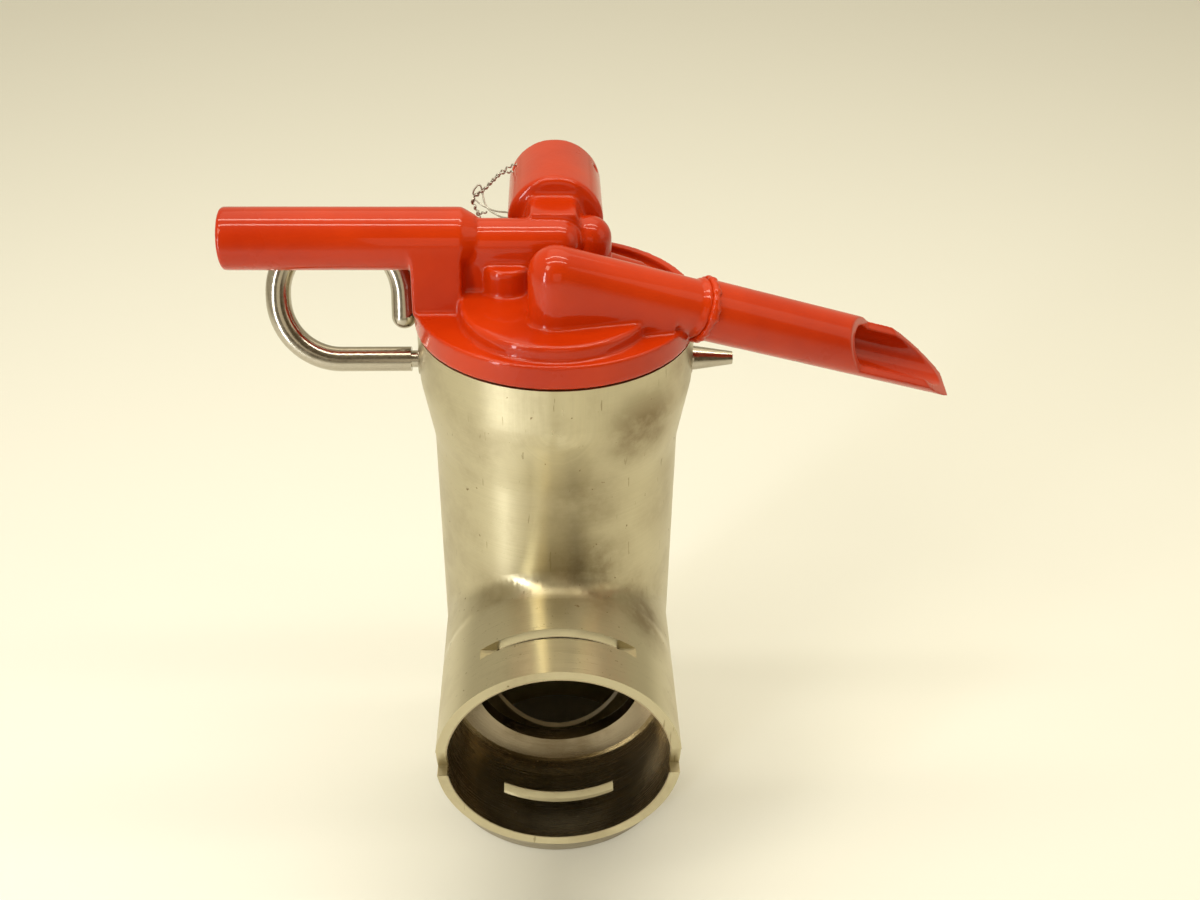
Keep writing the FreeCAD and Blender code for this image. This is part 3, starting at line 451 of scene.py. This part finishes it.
SPOUT_YAW = math.radians(12.2)
SPOUT_PITCH = math.radians(20)
SPOUT_AXIS = Vector((math.cos(SPOUT_PITCH) * math.cos(SPOUT_YAW),
                     math.cos(SPOUT_PITCH) * math.sin(SPOUT_YAW), -math.sin(SPOUT_PITCH)))
bead("spout_joint_bead", "drain_spout", SPOUT_AXIS, 0.0015, red_paint, "housing")


def springy(source, name, body):
    """A copy of a spring, with a mesh of its own, hung on the body in place of the CAD node."""
    item = copy_of(source, name)
    item.data.name = name
    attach(item, body)
    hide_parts(source)
    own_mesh(item)
    return item


springy("return_spring", "return_coil",
        "housing")
springy("pilot_spring", "pilot_coil",
        "housing")


def strand(name, points, thickness, phase, lay, turns, material):
    """One wire of the twisted seal, laid round the line through the points."""
    curve = bpy.data.curves.new(name, "CURVE")
    curve.dimensions = "3D"
    curve.bevel_depth = thickness
    curve.bevel_resolution = 3
    curve.use_fill_caps = True
    spline = curve.splines.new("POLY")
    lengths = [0.0]
    for first, second in zip(points, points[1:]):
        lengths.append(lengths[-1] + (second - first).length)
    steps = 220
    placed = []
    for step in range(steps + 1):
        goal = lengths[-1] * step / steps
        index = max(i for i in range(len(points) - 1) if lengths[i] <= goal + 1e-12)
        part = (goal - lengths[index]) / (lengths[index + 1] - lengths[index])
        middle = points[index].lerp(points[index + 1], part)
        along = (points[index + 1] - points[index]).normalized()
        side = along.cross(Vector((0, 0, 1))).normalized()
        over = along.cross(side).normalized()
        angle = phase + turns * 2 * math.pi * step / steps
        placed.append(middle + (side * math.cos(angle) + over * math.sin(angle)) * lay)
    spline.points.add(len(placed) - 1)
    for point, place in zip(spline.points, placed):
        point.co = (*place, 1)
    item = bpy.data.objects.new(name, curve)
    bpy.context.scene.collection.objects.link(item)
    curve.materials.append(material)
    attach(item, "housing")
    return item


def smooth_route(corners, rounds=3):
    """Corner cutting, with both ends kept, and millimetres made metres."""
    points = [Vector(corner) / 1000 for corner in corners]
    for _ in range(rounds):
        cut = [points[0]]
        for first, second in zip(points, points[1:]):
            cut += [first.lerp(second, 0.25), first.lerp(second, 0.75)]
        points = cut + [points[-1]]
    return points


# The seal's two wires leave the housing's hole, run twisted to a pigtail, loop once and return to the
# flank. The points are in millimetres, and smooth_route turns them to metres.
LAID = {
    "wire_pair_a": [(-14.0, 47.6, 268.0), (-17.5, 47.0, 266.9), (-20.8, 46.0, 264.8), (-23.6, 45.0, 262.2),
                    (-26.8, 44.0, 258.9), (-30.0, 43.0, 257.3), (-31.3, 42.0, 255.5), (-30.3, 41.5, 253.4),
                    (-29.3, 41.0, 250.7), (-28.2, 40.5, 249.1)],
    "wire_pair_b": [(-15.6, 46.2, 265.3), (-18.7, 46.4, 265.2), (-20.8, 46.0, 264.4), (-24.0, 45.2, 261.3),
                    (-27.2, 44.2, 258.3), (-30.5, 43.2, 256.4), (-30.7, 42.2, 254.6), (-29.8, 41.5, 252.7),
                    (-28.7, 41.0, 250.7), (-25.8, 40.0, 252.0)],
    "wire_loop": [(-26.8, 44.0, 258.9), (-29.1, 43.6, 258.2), (-30.8, 43.2, 257.0), (-30.6, 43.6, 259.0),
                  (-29.4, 44.0, 260.6), (-28.3, 44.4, 261.2), (-27.6, 44.0, 259.8), (-27.2, 43.4, 257.9)],
    "wire_return_a": [(-27.2, 43.4, 257.9), (-26.9, 42.0, 256.3), (-26.1, 40.5, 254.5), (-24.8, 39.0, 253.2),
                      (-23.1, 37.5, 252.5), (-20.3, 35.5, 251.8), (-17.7, 33.8, 252.3), (-16.0, 31.8, 252.8)],
    "wire_return_b": [(-29.7, 42.4, 255.7), (-27.4, 41.0, 254.1), (-23.8, 38.6, 253.3), (-21.0, 36.6, 253.6),
                      (-17.5, 34.2, 254.2), (-16.2, 32.4, 254.4)],
}
WIRE_RADIUS = 0.00034
PAIR_LAY, PAIR_TURNS = WIRE_RADIUS, 13
SINGLE_LAY, SINGLE_TURNS = 0.00006, 2
for index, (name, corners) in enumerate(LAID.items()):
    paired = name.startswith("wire_pair")
    lay = PAIR_LAY if paired else SINGLE_LAY
    turns = PAIR_TURNS if paired else SINGLE_TURNS
    laid = strand(name, smooth_route(corners), WIRE_RADIUS, index * math.pi, lay, turns, wire_steel)
    if index == 0:
        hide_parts("lock_wire")


# ---------------------------------------------------------------- stage, light and camera

def plain(name, colour, roughness):
    material, tree, shader = new_material(name)
    cloud = noise(tree, 3.0)
    tree.links.new(mix_colour(tree, cloud, colour, tuple(c * 0.98 for c in colour)),
                   shader.inputs["Base Color"])
    shader.inputs["Roughness"].default_value = roughness
    return material


bpy.ops.mesh.primitive_plane_add(size=12, location=(0, 0, cad_bounds[0][2]))
floor = bpy.context.object
floor.name = "floor"
floor.data.materials.append(plain("floor_cream", (0.89, 0.90, 0.87), 0.6))


def panel(name, place, target, size, power, colour):
    light = bpy.data.lights.new(name, "AREA")
    light.shape = "RECTANGLE"
    light.size, light.size_y = size
    light.energy = power
    light.color = colour
    item = bpy.data.objects.new(name, light)
    item.location = place
    item.rotation_euler = (Vector(target) - Vector(place)).to_track_quat("-Z", "Y").to_euler()
    bpy.context.scene.collection.objects.link(item)
    return item


WARM = (1.0, 0.90, 0.68)
COOL = (0.92, 0.96, 1.0)
PALE = (1.0, 0.95, 0.80)
ROOM_CREAM = (0.88, 0.79, 0.56)
ROOM_DIM = (0.20, 0.15, 0.08)
panel("key", (-0.80, -0.75, 1.25), (0, 0, 0.15), (0.40, 0.40), 3.6, WARM)
panel("overhead", (0.1, 0.8, 1.9), (0, 0.45, 0.0), (1.9, 1.9), 10.0, WARM)
panel("side", (1.2, -0.3, 0.8), (0, 0, 0.15), (0.7, 0.9), 1.5, WARM)
panel("fill", (0.05, -0.95, 0.45), (0, -0.05, 0.095), (0.5, 0.5), 0.6, WARM)
panel("window", (-0.62, -0.60, 0.30), (0, 0, 0.13), (0.09, 0.55), 2.4, COOL)
panel("strip_front", (0, -0.26, 1.20), (0, -0.02, 0.25), (1.3, 0.07), 3.6, PALE)
panel("strip_back", (0, 0.10, 1.20), (0, 0, 0.25), (1.3, 0.07), 3.6, PALE)


def studio_world():
    """A cream room that is dim on the side the valve's outlet faces."""
    world = bpy.data.worlds.new("studio")
    world.use_nodes = True
    tree = world.node_tree
    shine = tree.nodes["Background"]
    coords = tree.nodes.new("ShaderNodeTexCoord")
    facing = tree.nodes.new("ShaderNodeVectorMath")
    facing.operation = "DOT_PRODUCT"
    facing.inputs[1].default_value = Vector((0.25, -0.85, 0.45)).normalized()
    tree.links.new(coords.outputs["Generated"], facing.inputs[0])
    dim = remap(tree, facing.outputs["Value"], 0.45, 0.92)
    tree.links.new(mix_colour(tree, dim, ROOM_CREAM, ROOM_DIM), shine.inputs["Color"])
    shine.inputs["Strength"].default_value = 0.64
    bpy.context.scene.world = world


studio_world()

# The camera stands in front of the outlet, turned a little to its right, looking down, slightly rolled.
CAMERA_YAW = math.radians(2.5639)
CAMERA_PITCH = math.radians(-34.0354)
CAMERA_ROLL = math.radians(1.0664)
CAMERA_PLACE = (-0.001854, -0.416058, 0.451938)
forward = Vector((math.cos(CAMERA_PITCH) * math.sin(CAMERA_YAW),
                  math.cos(CAMERA_PITCH) * math.cos(CAMERA_YAW), math.sin(CAMERA_PITCH)))
level = Vector((math.cos(CAMERA_YAW), -math.sin(CAMERA_YAW), 0))
upright = level.cross(forward)
right = level * math.cos(CAMERA_ROLL) + upright * math.sin(CAMERA_ROLL)
up = upright * math.cos(CAMERA_ROLL) - level * math.sin(CAMERA_ROLL)
camera_data = bpy.data.cameras.new("camera")
camera_data.sensor_width = 36
camera_data.lens = 39.0
camera_data.clip_start = 0.01
camera = bpy.data.objects.new("camera", camera_data)
turn = Matrix((right, up, -forward)).transposed().to_4x4()
camera.matrix_world = Matrix.Translation(CAMERA_PLACE) @ turn
bpy.context.scene.collection.objects.link(camera)
bpy.context.scene.camera = camera
bpy.context.scene.view_settings.view_transform = "Standard"

bpy.context.view_layer.update()
